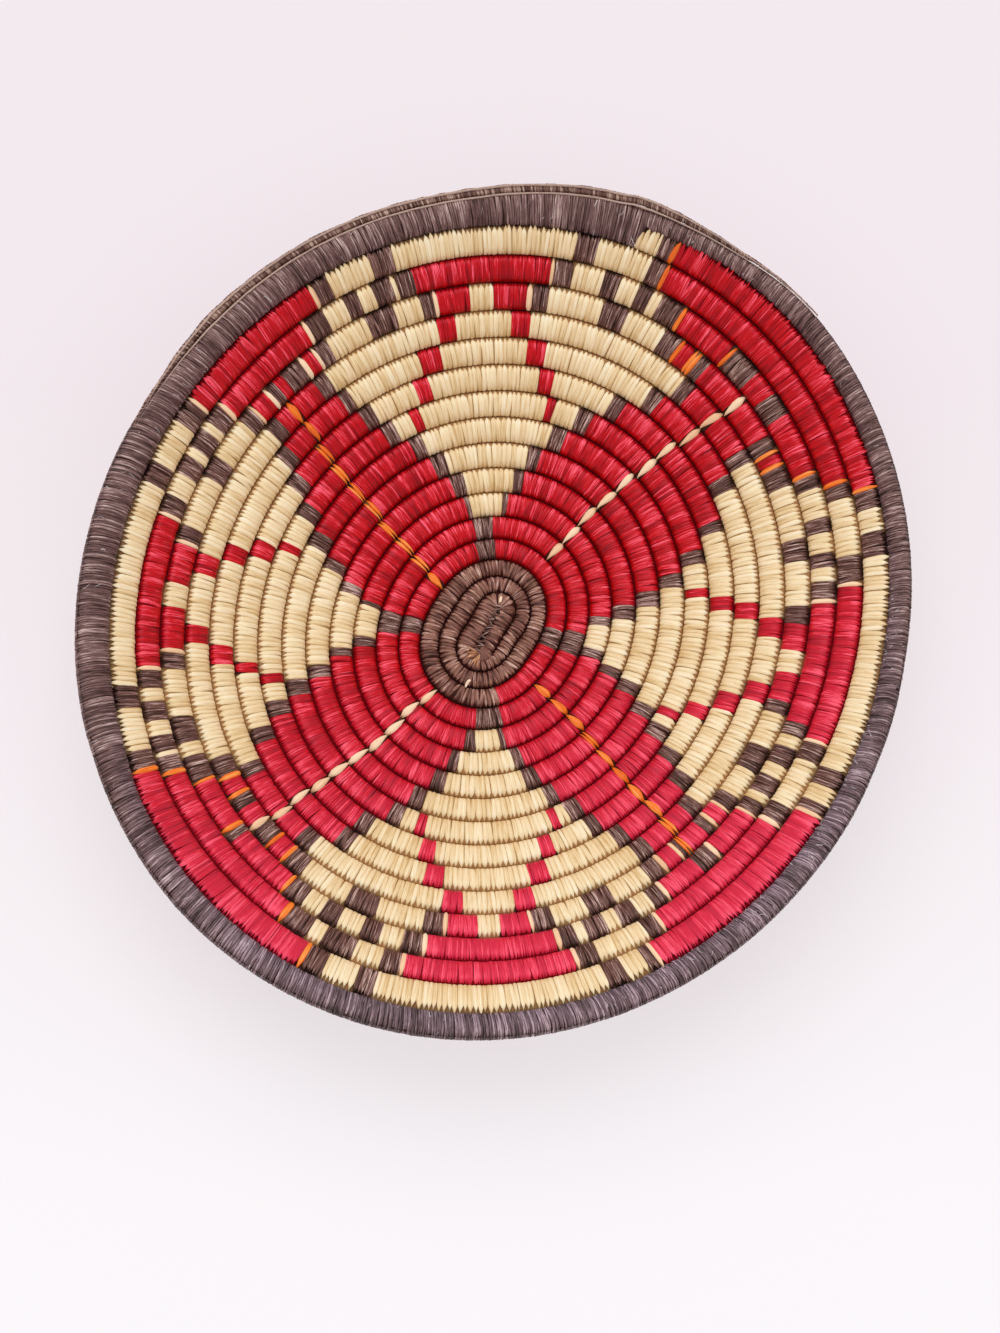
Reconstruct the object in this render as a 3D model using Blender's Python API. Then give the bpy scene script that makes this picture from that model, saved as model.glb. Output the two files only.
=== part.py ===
# A shallow oval tray of coiled basketry, lying flat on its base with its hollow side up.
# One long bundle of grass is wound outwards from a fold in the middle. Every turn is wrapped in
# stitches of palm strand, and a thick overcast roll finishes the edge. Units are metres, +Z is up,
# and the origin is under the middle of the tray, on the surface that it stands on.

from math import atan2, cos, exp, floor, hypot, pi, sin, sqrt

import bpy

# The winding
LAST_TURN = 16.34  # turns from the middle to the end of the coil
FIRST_TURN = -0.05  # where the bundle starts, beside the middle of the fold
FOLD_TURN = 0.60  # the fold's second strand ends here
SPIRAL_TURN = 1.10  # from here on the winding is an even spiral
TURN_AHEAD = 0.40  # the turn that would cross +Y, which sets where the coil ends
SPIRAL_RADIUS = 0.01375  # mean radius of the coil where the even spiral starts
EDGE_RADIUS = 0.1506  # and at its end
SWELL = 0.0173  # how far the fold pushes the first turns out
SWELL_TURNS = 1.28  # over about this many turns
FOLD_LENGTH = 0.0162  # between the centres of the fold's two bends
FOLD_RADIUS = 0.0040  # from the fold's middle line to its strands
OVAL = 0.0018  # the winding is longer than a circle by this each way
OVAL_GROWTH = 0.00032  # by this more for each turn
OVAL_FOLD = 0.0050  # and by this beside the fold, less and less outwards
OVAL_TURNS = 1.5
OVAL_DIRECTION = 28.2 * pi / 180  # of the long axis, clockwise from +Y seen from above

# The dish
BASE_RADIUS = 0.0309  # the turns inside this lie level
RISE = 0.0427  # from the base to the last turn, at the coil's middle
RISE_POWER = 1.72

# The coil and its wrapping
COIL_THICKNESS = 0.0084
BASE_CUT = 0.00084  # flat under the base, a tenth of the coil's thickness
TURN_GAP = 0.0005  # between two neighbouring turns
WRAP_WALL = 0.0013
WRAP_CLEARANCE = 0.0003  # round the bundle, and between the ends of two wrapped turns
BORE_SHARE = 0.72  # the bore's corners lie this far out towards the inside of the wrapping
COIL_TAPER = 0.075  # the bundle thins over this part of a turn at its end
TAPER_END = 0.42  # of its width, where it stops
OUTER_POINTS = 24  # points in a turn
INNER_POINTS = 16
START_POINTS = 24
INNER_TURNS = 5.34  # the turns inside this have INNER_POINTS

# The rim. Its roll is thin along one side and thick along the other. Each entry: bearing in degrees
# clockwise from +Y seen from above, and the roll's width there. The last bearing is the first one again.
RIM_WIDTHS = (
    (-7, 0.0106), (22, 0.0104), (38, 0.0084), (90, 0.0080), (150, 0.0088), (200, 0.0094),
    (236, 0.0100), (254, 0.0120), (290, 0.0120), (312, 0.0108), (353, 0.0106),
)
RIM_FLATNESS = 0.96  # its thickness to its width
RIM_GAP = 0.0005
RIM_WALL = 0.0016
RIM_POINTS = 2 * OUTER_POINTS
RIM_SPLIT = 0.0005  # between the two ends of the rim's wrapping
RIM_STEP = 4 / RIM_POINTS  # the rim steps in over this part of a turn, past the coil's end

# How far the last turn's outer side is pushed out, at these bearings: it is fuller where the roll is thin
EDGE_PUSH = (
    (-7, 0.0), (22, 0.0), (40, -0.0006), (65, -0.0012), (95, -0.0005), (112, 0.0008), (125, 0.0018),
    (150, 0.0021), (225, 0.0025), (238, 0.0020), (250, 0.0004), (280, 0.0005), (320, 0.0), (353, 0.0),
)

# The finishing strands along the rim's outer edge
EDGE_STRANDS = (((1.0, 0.0), 0.0028), ((0.71, 0.71), 0.0013))  # place on the rim, thickness
EDGE_START = -58.0 * pi / 180  # clockwise from +Y
EDGE_END = 46.0 * pi / 180
EDGE_GAP = 0.0003

COLOURS = {
    "natural": (0.78, 0.62, 0.38),
    "red": (0.52, 0.02, 0.035),
    "brown": (0.10, 0.055, 0.045),
    "rim": (0.115, 0.075, 0.080),
    "straw": (0.42, 0.30, 0.14),
    "pale": (0.52, 0.40, 0.30),
}

HEXAGON = ((1.0, 0.0), (0.6, 1.0), (-0.6, 1.0), (-1.0, 0.0), (-0.6, -1.0), (0.6, -1.0))
OCTAGON = (
    (1.0, 0.42), (0.42, 1.0), (-0.42, 1.0), (-1.0, 0.42),
    (-1.0, -0.42), (-0.42, -1.0), (0.42, -1.0), (1.0, -0.42),
)
SQUARE = ((1.0, 1.0), (-1.0, 1.0), (-1.0, -1.0), (1.0, -1.0))


def smooth(x):
    """A step from 0 to 1 with level ends."""
    x = min(max(x, 0.0), 1.0)
    return x * x * (3 - 2 * x)


# The path of the coil
def swelling(turn):
    return SWELL * exp(-turn / SWELL_TURNS)


def mean_radius(turn):
    run = EDGE_RADIUS - SPIRAL_RADIUS + swelling(SPIRAL_TURN)
    pitch = run / (LAST_TURN - SPIRAL_TURN)
    return EDGE_RADIUS - pitch * (LAST_TURN - turn) + swelling(turn)


def direction(turn):
    """The angle from +Y at which a turn lies, anticlockwise seen from above."""
    return 2 * pi * (turn - TURN_AHEAD)


def spiral_radius(turn):
    oval = OVAL + OVAL_GROWTH * turn + OVAL_FOLD * exp(-turn / OVAL_TURNS)
    return mean_radius(turn) + oval * cos(2 * (direction(turn) + OVAL_DIRECTION))


def fold_radius(turn):
    """Distance of the fold's strands from the middle: a straight run each side and a bend round each end."""
    angle = direction(turn) + OVAL_DIRECTION
    along, across = abs(cos(angle)), abs(sin(angle))
    half = FOLD_LENGTH / 2
    if FOLD_RADIUS * along <= half * across:
        return FOLD_RADIUS / across
    return half * along + sqrt(max(FOLD_RADIUS**2 - (half * across) ** 2, 0.0))


def coil_radius(turn):
    if turn >= SPIRAL_TURN:
        return spiral_radius(turn)
    share = smooth((turn - FOLD_TURN) / (SPIRAL_TURN - FOLD_TURN))
    return fold_radius(turn) * (1 - share) + spiral_radius(turn) * share


def height(radius):
    """Height of the coil's middle line above its lowest turns."""
    share = max(radius - BASE_RADIUS, 0.0) / (mean_radius(LAST_TURN) - BASE_RADIUS)
    return RISE * share**RISE_POWER


def slope(radius):
    step = 0.0005
    return (height(radius + step) - height(radius - step)) / (2 * step)


def coil_point(turn):
    radius = coil_radius(turn)
    angle = direction(turn)
    level = COIL_THICKNESS / 2 - BASE_CUT
    return (-radius * sin(angle), radius * cos(angle), level + height(mean_radius(max(turn, 0.0))))


def coil_axes(turn):
    """The outward and the upward direction of the coil's section, square to the path."""
    step = 0.004
    x0, y0, _ = coil_point(turn - step)
    x1, y1, _ = coil_point(turn + step)
    run = hypot(x1 - x0, y1 - y0)
    out = ((y1 - y0) / run, -(x1 - x0) / run)
    tilt = atan2(slope(mean_radius(max(turn, 0.0))), 1.0)
    outward = (out[0] * cos(tilt), out[1] * cos(tilt), sin(tilt))
    upward = (-out[0] * sin(tilt), -out[1] * sin(tilt), cos(tilt))
    return outward, upward


def moved(point, axes, out, up):
    outward, upward = axes
    return tuple(point[i] + out * outward[i] + up * upward[i] for i in range(3))


def edge_value(entries, turn):
    """The value for this turn's bearing, from entries of bearing and value, with a smooth step between two."""
    first = entries[0][0]
    bearing = (360 * (TURN_AHEAD - turn) - first) % 360 + first
    for (a, low), (b, high) in zip(entries, entries[1:]):
        if bearing <= b:
            return low + (high - low) * smooth((bearing - a) / (b - a))
    return entries[-1][1]


def edge_push(turn):
    return edge_value(EDGE_PUSH, turn) if turn > LAST_TURN - 1 else 0.0


def distance(a, b):
    return sqrt(sum((a[i] - b[i]) ** 2 for i in range(3)))


# The points of the coil
def points_between(first, last, count):
    """Turn values from first to last, about count to a turn."""
    steps = max(1, round((last - first) * count))
    return [first + (last - first) * i / steps for i in range(steps)]


def turn_values():
    split = LAST_TURN - floor(LAST_TURN - INNER_TURNS)
    spiral = LAST_TURN - floor(LAST_TURN - SPIRAL_TURN)
    values = points_between(FIRST_TURN, spiral, START_POINTS)
    values += points_between(spiral, split, INNER_POINTS)
    values += points_between(split, LAST_TURN, OUTER_POINTS)
    return values + [LAST_TURN]


def taper(turn):
    """The bundle's share of its full width near its end."""
    return TAPER_END + (1 - TAPER_END) * smooth((LAST_TURN - turn) / COIL_TAPER)


def distance_to_line(point, a, b):
    along = [b[i] - a[i] for i in range(3)]
    share = sum((point[i] - a[i]) * along[i] for i in range(3)) / sum(step * step for step in along)
    share = min(max(share, 0.0), 1.0)
    return distance(point, [a[i] + share * along[i] for i in range(3)])


def half_widths(values):
    """Half the room between each point and the nearest other turn, less half the gap between turns."""
    points = [coil_point(turn) for turn in values]
    room = [1.0] * len(values)
    for i, point in enumerate(points):
        for j in range(len(values) - 1):
            if min(abs(values[i] - values[j]), abs(values[i] - values[j + 1])) < 0.3:
                continue
            if abs(values[i] - values[j]) > 1.3:
                continue
            near = distance_to_line(point, points[j], points[j + 1])
            room[i] = min(room[i], near)
            room[j] = min(room[j], near)
            room[j + 1] = min(room[j + 1], near)
    return [(near - TURN_GAP) / 2 for near in room]


def width_at(turn, values, widths):
    """The half width between two of the points, read along a straight line."""
    for i in range(len(values) - 1):
        if turn <= values[i + 1]:
            share = (turn - values[i]) / (values[i + 1] - values[i])
            return widths[i] + (widths[i + 1] - widths[i]) * max(share, 0.0)
    return widths[-1]


def coil_section(turn, half_width, outline, share=1.0, inset=0.0):
    """The corners of one section of the coil. The underside stops at the level that the tray stands on."""
    size = taper(turn)
    push = edge_push(turn) / 2
    middle = moved(coil_point(turn), coil_axes(turn), push - (1 - size) * half_width, 0.0)
    across = (size * half_width + push - inset) * share
    thick = (size ** 0.5 * COIL_THICKNESS / 2 - inset) * share
    corners = [moved(middle, coil_axes(turn), across * x, thick * y) for x, y in outline]
    return [(x, y, max(z, 0.0)) for x, y, z in corners]


# Meshes
def skin(rings, flip=False):
    """The faces that join rings of points of one size, as lists of point numbers."""
    size = len(rings[0])
    faces = []
    for ring in range(len(rings) - 1):
        for side in range(size):
            a = ring * size + side
            b = ring * size + (side + 1) % size
            face = (a, a + size, b + size, b)
            faces.append(face[::-1] if flip else face)
    return faces


def make(name, points, faces, material, shift):
    mesh = bpy.data.meshes.new(name)
    mesh.from_pydata([(x + shift[0], y + shift[1], z) for x, y, z in points], [], faces)
    mesh.validate()
    mesh.shade_smooth()
    mesh.set_sharp_from_angle(angle=50 * pi / 180)
    mesh.materials.append(material)
    part = bpy.data.objects.new(name, mesh)
    bpy.context.scene.collection.objects.link(part)
    return part


def solid_tube(rings):
    """A tube with closed ends."""
    size = len(rings[0])
    points = [point for ring in rings for point in ring]
    last = len(points) - size
    faces = skin(rings)
    faces.append(tuple(range(size)))
    faces.append(tuple(reversed(range(last, last + size))))
    return points, faces


def hollow_tube(outer, inner):
    """A tube open at both ends, whose bore may have fewer sides than its outside."""
    points = [point for ring in outer for point in ring]
    start = len(points)
    faces = skin(outer)
    points += [point for ring in inner for point in ring]
    faces += [tuple(start + i for i in face) for face in skin(inner, flip=True)]
    for ring in (0, len(outer) - 1):
        faces += end_faces(outer[ring], inner[ring], ring, start, first=ring == 0)
    return points, faces


def end_faces(outer, inner, ring, start, first):
    """The flat ring at one end, between the outline and the bore."""
    many, few = len(outer), len(inner)
    a = ring * many
    b = start + ring * few
    nearest = [min(range(few), key=lambda j: distance(outer[i], inner[j])) for i in range(many)]
    faces = []
    for i in range(many):
        j, k = nearest[i], nearest[(i + 1) % many]
        face = [a + i, a + (i + 1) % many, b + k]
        if j != k:
            face.append(b + j)
        faces.append(tuple(face) if first else tuple(reversed(face)))
    return faces


# The parts of the coil
def make_bundle(values, widths, material, shift):
    inset = WRAP_WALL + WRAP_CLEARANCE
    rings = [
        coil_section(turn, width, SQUARE, BORE_SHARE, inset)
        for turn, width in zip(values, widths)
    ]
    return make("grass_bundle", *solid_tube(rings), material, shift)


def along_path(points, axes, by):
    """The points moved along the coil."""
    outward, upward = axes
    way = (
        upward[1] * outward[2] - upward[2] * outward[1],
        upward[2] * outward[0] - upward[0] * outward[2],
        upward[0] * outward[1] - upward[1] * outward[0],
    )
    return [tuple(point[i] + by * way[i] for i in range(3)) for point in points]


def make_wrapped_turn(number, first, last, values, widths, material, shift):
    """The stitches from one turn value to another, short of its neighbours by half the clearance."""
    turns = [turn for turn in values if first - 1e-9 < turn < last + 1e-9]
    outer, inner = [], []
    for turn in turns:
        width = width_at(turn, values, widths)
        by = 0.0
        if turn == turns[0]:
            by = WRAP_CLEARANCE / 2
        if turn == turns[-1]:
            by = -WRAP_CLEARANCE / 2
        axes = coil_axes(turn)
        outer.append(along_path(coil_section(turn, width, HEXAGON), axes, by))
        bore = coil_section(turn, width, SQUARE, BORE_SHARE, WRAP_WALL)
        inner.append(along_path(bore, axes, by))
    return make(f"wrapped_turn_{number:02d}", *hollow_tube(outer, inner), material, shift)


# The rim
def row_edge(turn, values, widths):
    """The outer edge of the outermost turn. Past the coil's end it falls back to the turn inside it."""
    width = width_at(turn, values, widths)
    full = moved(coil_point(turn), coil_axes(turn), (2 * taper(turn) - 1) * width + edge_push(turn), 0.0)
    if turn <= LAST_TURN:
        return full, coil_axes(turn)
    below = turn - 1
    bare = moved(coil_point(below), coil_axes(below), width_at(below, values, widths), 0.0)
    share = 1 - smooth((turn - LAST_TURN) / RIM_STEP)
    return tuple(bare[i] + (full[i] - bare[i]) * share for i in range(3)), coil_axes(below)


def rim_turns():
    first = LAST_TURN + RIM_STEP - 1
    gap = RIM_SPLIT / (2 * pi * EDGE_RADIUS)
    return [first + i / RIM_POINTS for i in range(RIM_POINTS)] + [first + 1 - gap]


def rim_middle(turn, values, widths):
    edge, axes = row_edge(turn, values, widths)
    return moved(edge, axes, RIM_GAP + edge_value(RIM_WIDTHS, turn) / 2, 0.0), axes


def rim_section(turn, values, widths, outline, share=1.0, inset=0.0):
    middle, axes = rim_middle(turn, values, widths)
    half = edge_value(RIM_WIDTHS, turn) / 2
    across = (half - inset) * share
    thick = (half * RIM_FLATNESS - inset) * share
    return [moved(middle, axes, across * x, thick * y) for x, y in outline]


def make_rim(values, widths, materials, shift):
    turns = rim_turns()
    outer = [rim_section(turn, values, widths, OCTAGON) for turn in turns]
    bore = [rim_section(turn, values, widths, SQUARE, BORE_SHARE, RIM_WALL) for turn in turns]
    make("rim_wrapping", *hollow_tube(outer, bore), materials["rim"], shift)
    inset = RIM_WALL + WRAP_CLEARANCE
    core = [rim_section(turn, values, widths, SQUARE, BORE_SHARE, inset) for turn in turns]
    make("rim_bundle", *solid_tube(core), materials["straw"], shift)


def edge_turns():
    """The rim's own turn values over the stretch that was finished off, in the coil's direction."""
    turns = rim_turns()
    bearings = [(2 * pi * (TURN_AHEAD - turn) + pi) % (2 * pi) - pi for turn in turns]
    half = LAST_TURN - 0.5
    late = [t for t, bearing in zip(turns, bearings) if t > half and EDGE_START < bearing < EDGE_END]
    early = [t for t, bearing in zip(turns, bearings) if t < half and EDGE_START < bearing]
    return late + early[1:]


def edge_strand_rings(place, thickness, values, widths):
    """The sections of a strand laid along the rim's outer side. Place is (out, up) on the rim's section."""
    half = thickness / 2
    size = hypot(*place)
    rings = []
    for turn in edge_turns():
        middle, axes = rim_middle(turn, values, widths)
        across = edge_value(RIM_WIDTHS, turn) / 2
        out = across * place[0] + (EDGE_GAP + 1.5 * half) * place[0] / size
        up = across * RIM_FLATNESS * place[1] + (EDGE_GAP + 1.5 * half) * place[1] / size
        strand = moved(middle, axes, out, up)
        rings.append([moved(strand, axes, half * x, half * y) for x, y in SQUARE])
    return rings


def make_edge_strands(values, widths, material, shift):
    for number, (place, thickness) in enumerate(EDGE_STRANDS):
        rings = edge_strand_rings(place, thickness, values, widths)
        make(f"edge_strand_{number + 1}", *solid_tube(rings), material, shift)


# Checks on the winding
def report_gaps(values, widths):
    """Prints the least gap between turns, of the wrapped coil and of the bundle inside it."""
    points = [coil_point(turn) for turn in values]
    least = min(
        distance_to_line(points[i], points[j], points[j + 1]) - widths[i] - max(widths[j], widths[j + 1])
        for i in range(len(values))
        for j in range(len(values) - 1)
        if abs(values[i] - values[j]) > 0.3 and abs(values[i] - values[j + 1]) > 0.3
    )
    inset = WRAP_WALL + WRAP_CLEARANCE
    print(f"least gap between turns: wrapped coil {1000 * least:.2f} mm")
    print(f"least gap of the bundle to itself: at least {1000 * (least + 2 * inset):.2f} mm")


def turn_colour(turn):
    if turn < 3:
        return "brown"
    return "red" if turn < 8 else "natural"


def material(name, colour, roughness):
    made = bpy.data.materials.new(name)
    made.use_nodes = True
    shader = made.node_tree.nodes["Principled BSDF"]
    shader.inputs["Base Color"].default_value = (*colour, 1.0)
    shader.inputs["Roughness"].default_value = roughness
    shader.inputs["Metallic"].default_value = 0.0
    made.diffuse_color = (*colour, 1.0)
    return made


def centring(values, widths):
    """The shift that puts the middle of the tray's box over the origin."""
    rings = [rim_section(turn, values, widths, OCTAGON) for turn in rim_turns()]
    for place, thickness in EDGE_STRANDS:
        rings += edge_strand_rings(place, thickness, values, widths)
    xs = [point[0] for ring in rings for point in ring]
    ys = [point[1] for ring in rings for point in ring]
    return (-(min(xs) + max(xs)) / 2, -(min(ys) + max(ys)) / 2)


def main():
    for old in list(bpy.data.objects):
        bpy.data.objects.remove(old)
    materials = {name: material(name, colour, 0.6) for name, colour in COLOURS.items()}
    values = turn_values()
    widths = half_widths(values)
    shift = centring(values, widths)
    make_bundle(values, widths, materials["straw"], shift)
    whole = floor(LAST_TURN - SPIRAL_TURN)
    first = FIRST_TURN
    for number in range(whole + 1):
        last = LAST_TURN - (whole - number)
        colour = materials[turn_colour(last)]
        make_wrapped_turn(number + 1, first, last, values, widths, colour, shift)
        first = last
    make_rim(values, widths, materials, shift)
    make_edge_strands(values, widths, materials["pale"], shift)
    report_gaps(values, widths)
    print(f"shift {shift[0]:.5f} {shift[1]:.5f}")


main()
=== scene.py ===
# The looks of the coiled tray: every stitch of split palm over its bundle, the overcast rim, and a plain
# studio. Units are metres. Bearings are degrees clockwise from +Y, seen from above.
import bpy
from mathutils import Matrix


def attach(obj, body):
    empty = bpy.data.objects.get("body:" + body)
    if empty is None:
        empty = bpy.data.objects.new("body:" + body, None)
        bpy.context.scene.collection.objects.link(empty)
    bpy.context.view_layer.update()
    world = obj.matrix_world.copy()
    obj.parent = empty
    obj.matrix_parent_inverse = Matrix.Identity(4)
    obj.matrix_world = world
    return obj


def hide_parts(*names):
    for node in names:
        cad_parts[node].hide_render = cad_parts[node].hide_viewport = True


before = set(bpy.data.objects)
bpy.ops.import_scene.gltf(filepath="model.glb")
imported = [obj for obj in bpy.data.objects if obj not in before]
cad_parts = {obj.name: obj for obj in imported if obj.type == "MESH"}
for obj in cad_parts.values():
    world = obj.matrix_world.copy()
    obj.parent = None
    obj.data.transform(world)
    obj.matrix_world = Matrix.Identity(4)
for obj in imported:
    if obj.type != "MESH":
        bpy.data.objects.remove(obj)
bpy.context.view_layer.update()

from collections import namedtuple
from math import cos, hypot, pi, radians, sin

import bpy
import numpy as np
from mathutils import Matrix, Vector
from mathutils.bvhtree import BVHTree

# The winding, as in the part's source
LAST_TURN = 16.34
TIP_TURN = -0.13  # the coil's own tip
FOLD_TURN = 0.60
SPIRAL_TURN = 1.10
TURN_AHEAD = 0.40
NORTH_TURN = int(LAST_TURN) + TURN_AHEAD  # row 0 begins here, at bearing 0. Rows are counted inwards.
SPIRAL_RADIUS = 0.01375
EDGE_RADIUS = 0.1506
SWELL = 0.0173
SWELL_TURNS = 1.28
FOLD_LENGTH = 0.0162
FOLD_RADIUS = 0.0040
OVAL = 0.0018
OVAL_GROWTH = 0.00032
OVAL_FOLD = 0.0050
OVAL_TURNS = 1.5
OVAL_DIRECTION = radians(28.2)
BASE_RADIUS = 0.0309
RISE = 0.0427
RISE_POWER = 1.72
COIL_THICKNESS = 0.0084
BASE_CUT = 0.00084
COIL_TAPER = 0.075
TAPER_END = 0.42
SHOWN_END = 0.92  # the share of the coil's width that the rim's wrap leaves in sight at its end
MIDDLE = (0.00014, 0.00022)  # the coil's middle in the frame
COIL_STEPS = 1650
APART_LEAST, APART_MOST = 0.8, 1.3  # turns between two stretches that lie side by side
FOLD_APART_LEAST, FOLD_TURNS = 0.3, 2  # and the least of them in so many turns at the start
LOPSIDED_MOST = 0.004
NARROW_LEAST = 0.3  # how narrow a row has to be to get no thinner
# The coil's own start is rounded off over a short stretch of turns, and thinner over a longer one
BLUNT_TURNS, BLUNT_LEAST = 0.016, 0.02
THIN_TURNS, THIN_SHARE = 0.08, 0.75

# The rim, as in the part's source. Each entry: bearing, and the roll's width there.
RIM_WIDTHS = (
    (-7, 0.0106), (22, 0.0104), (38, 0.0084), (90, 0.0080), (150, 0.0088), (200, 0.0094),
    (236, 0.0100), (254, 0.0120), (290, 0.0120), (312, 0.0108), (353, 0.0106),
)
RIM_FLATNESS = 0.96  # its thickness to its width
RIM_GAP = 0.0005
RIM_STEP = 4 / 48
RIM_STEPS = 400
RIM_INNER_LEAST = 0.4  # of its half width

# How far the last turn's outer side is pushed out, at these bearings
EDGE_PUSH = (
    (-7, 0.0), (22, 0.0), (40, -0.0006), (65, -0.0012), (95, -0.0005), (112, 0.0008), (125, 0.0018),
    (150, 0.0021), (225, 0.0025), (238, 0.0020), (250, 0.0004), (280, 0.0005), (320, 0.0), (353, 0.0),
)

# The stitches: how wide they are, and how much that varies
STITCH, STITCH_SPREAD = 0.00185, 0.13
FINE_STITCH, FINE_TURN = 0.00142, 2.95  # in the middle, up to this turn
RIM_STITCH, RIM_SPREAD = 0.00094, 0.16
RIDGE_STITCH, RIDGE_SPREAD = 0.0007, 0.2
NARROWEST, WIDEST = 0.68, 1.4  # times the usual width
SEAM_GAP = 0.00012  # between the rows
FLOOR_GAP = 0.0003
AROUND = 24  # steps round a stitch
AROUND_SHIFT = 0.35  # more of them near the outer seam, where the tips narrow
ACROSS = np.array((-1.0, -0.80, 0.0, 0.80, 1.0))

# How a stitch is shaped, and how much that varies from one to the next
SEAM_SIDE = 1.001  # just past the side of the seam, which is 1
TAPER_POWER = 1.1
TIP_SPREAD, INNER_TIP_SPREAD, TIP_LEAST = 0.09, 0.07, 0.12
OVERLAP, OVERLAP_MORE = 1.05, 0.05  # its width to its share of the row, and up to how much more
LEAN_SPREAD, BOW_SPREAD, CROWN_SPREAD, LIFT_SPREAD = 0.09, 0.06, 0.22, 0.00004
CROWN_DROP = 1.8  # how far its edges lie below its crown, in heights of the crown
TIP_SINK = 0.00010

# The last row's stitches reach over the rim's flank
FRINGE, FRINGE_TURNS = 0.0017, 0.02
FRINGE_START, FRINGE_TIP = 0.12, 0.14  # how much sooner they begin to narrow, and how much finer they end
END_FRINGE, END_FRINGE_TURNS = 2.4, 0.07  # times further near the coil's end, over this many turns
END_TEETH = 0.34  # and how much sooner those begin to narrow
SQUARE = 1.5  # how much fuller the last row's outer side is, to carry them

# The grain of the strands, which their materials read in millimetres
MM = 1000  # to a metre
GRAIN_PLACES = 400  # each strand takes its grain from a place of its own
STITCH_ARC, CORE_ARC = 4.5, 2.5  # of strand to a radian round the row
# How sharply the painted shade at a strand's edges falls off, and how much painted shade its narrowing tip
# takes
EDGE_POWER, TIP_SHADE = 7, 0.5

# The bundles under the stitches
CORE_DEPTH, CORE_ROUGHNESS = 0.00026, 0.1
CORE_STEP, CORE_POWER = 0.0018, 2.4
CORE_ASIDE = 2.2 * SEAM_GAP  # how far the coil's own reaches past its row's sides, which closes the seams
RIM_CORE_STEP, RIM_CORE_POWER = 0.003, 2.3

# The strands along the rim's outer side, over these bearings. Phi is the place on the rim's section,
# from its outermost side over its top.
EDGE_START, EDGE_END = -64.0, 48.0
START_FADE, END_FADE = 22.0, 30.0  # degrees over which they thicken and stand out
THIN_END = 0.15
STRAND_STEPS = 420
# Each pale strand: phi, half its thickness, and its distance from the roll
PALE_STRANDS = ((0.12, 0.00046, 0.0031), (0.36, 0.00042, 0.0003))
PALE_STEP = 0.0009
RIDGE_PHI, RIDGE_SIZE = -0.08, 0.00180
RIDGE_OUT = 0.8  # its distance from the roll, to its size
JOIN_BEARING = 20.0  # where they begin and end: a step and a lump, and how many degrees each takes
JOIN_STEP, JOIN_STEP_DEGREES = 0.0007, 2.0
JOIN_LUMP, JOIN_LUMP_DEGREES = 0.0009, 1.4
WAVES, WAVE_SPREAD = 60, 0.00008  # how they wander, and how their thickness varies
LUMPS, LUMP_SPREAD = 90, 0.07

# Loose fibres on the rim. Each entry: bearings, how many, and their places on its section
FIBRES = (
    (88, 170, 170, (1.9, 2.9)),
    (88, 170, 60, (0.2, 1.9)),
    (0, 360, 150, (0.2, 2.9)),
)
FIBRE_STEPS, FIBRE_ACROSS = 7, np.array((-1.0, 0.0, 1.0))
FIBRE_RUN, FIBRE_BOW = 0.0011, 0.0003
FIBRE_TURN = (0.2, 0.7)  # radians round the rim
FIBRE_HALF, FIBRE_RISE, FIBRE_ARCH = (0.00006, 0.00012), (0.00025, 0.00050), 0.7
FIBRE_SINK = 0.0001  # of its ends

# The start of the coil, in millimetres from its middle. Lifts are in metres.
RIBBON_STEPS, RIBBON_BEND, RIBBON_DOME = 11, 0.05, 0.00022
RIBBON_ARCH, RIBBON_TIP, RIBBON_END = 0.6, 0.45, 0.02
RIBBON_SINK = 0.0004  # of its ends
SURFACE_TOP, SURFACE_USUAL, SURFACE_EASE = 0.03, 0.006, 2
SEAM_PLACES = (-10.5, 8.5, 15)  # along the fold's seam: from, to, how many
SEAM_SPREAD = 0.35
# Each hollow along the fold's seam is a dark strip laid over the surface: painted shade
HOLLOW_REACH, HOLLOW_WIDTH, HOLLOW_LIFT, HOLLOW_SHADE_TONE = (0.5, 0.9), (1.3, 2.0), 0.0005, -1.2
HOLLOW_TURN = 0.5  # how far it turns off the seam
CROSS_REACH, CROSS_WIDTH, CROSS_LIFT, CROSS_TONES = (1.3, 2.8), (0.5, 0.8), 0.0009, (0.3, 1.2)
CROSS_ON = 0.6  # from the hollow before it
CROSS_SLOPE = (0.5, 0.9)  # how far it runs along the seam, and how much that varies
CROSS_SHORTER = (0.7, 1.0)
PALE_ENDS = (((4.4, 9.4), 15, 3.2), ((-7.2, -20.6), 215, 3.8))  # place, bearing, length
PALE_WIDTH, PALE_LIFT, PALE_TONE = 1.2, 0.0006, 1.6
FAN_MIDDLE = (-3.4, -9.7)
FAN_BEARINGS, FAN_SPREAD = (185, 285, 12), 3.0  # from, to, how many, and how much they vary
FAN_FROM, FAN_LENGTH, FAN_WIDTH, FAN_LIFT = (0.6, 1.6), (4.2, 5.6), (0.7, 1.1), 0.0007
KNOT = (-0.0030, -0.0102, 0.0036, 0.0046, 0.0034)  # place, half width and half height, in metres
KNOT_STEPS, KNOT_GRAIN, KNOT_TONE = (17, 11), (3, 5), 0.2

rng = np.random.default_rng(16)


def smooth(x):
    x = np.clip(x, 0.0, 1.0)
    return x * x * (3 - 2 * x)


def edge_value(entries, turn):
    """The value at each turn's bearing, from entries of bearing and value with smooth steps between them."""
    bearings, values = np.array(entries).T
    bearing = (360 * (TURN_AHEAD - turn) - bearings[0]) % 360 + bearings[0]
    index = np.clip(np.searchsorted(bearings, bearing) - 1, 0, len(bearings) - 2)
    share = smooth((bearing - bearings[index]) / (bearings[index + 1] - bearings[index]))
    return values[index] + (values[index + 1] - values[index]) * share


def edge_push(turn):
    return np.where(turn > LAST_TURN - 1, edge_value(EDGE_PUSH, turn), 0.0)


# The path of the coil
def swelling(turn):
    return SWELL * np.exp(-turn / SWELL_TURNS)


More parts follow.
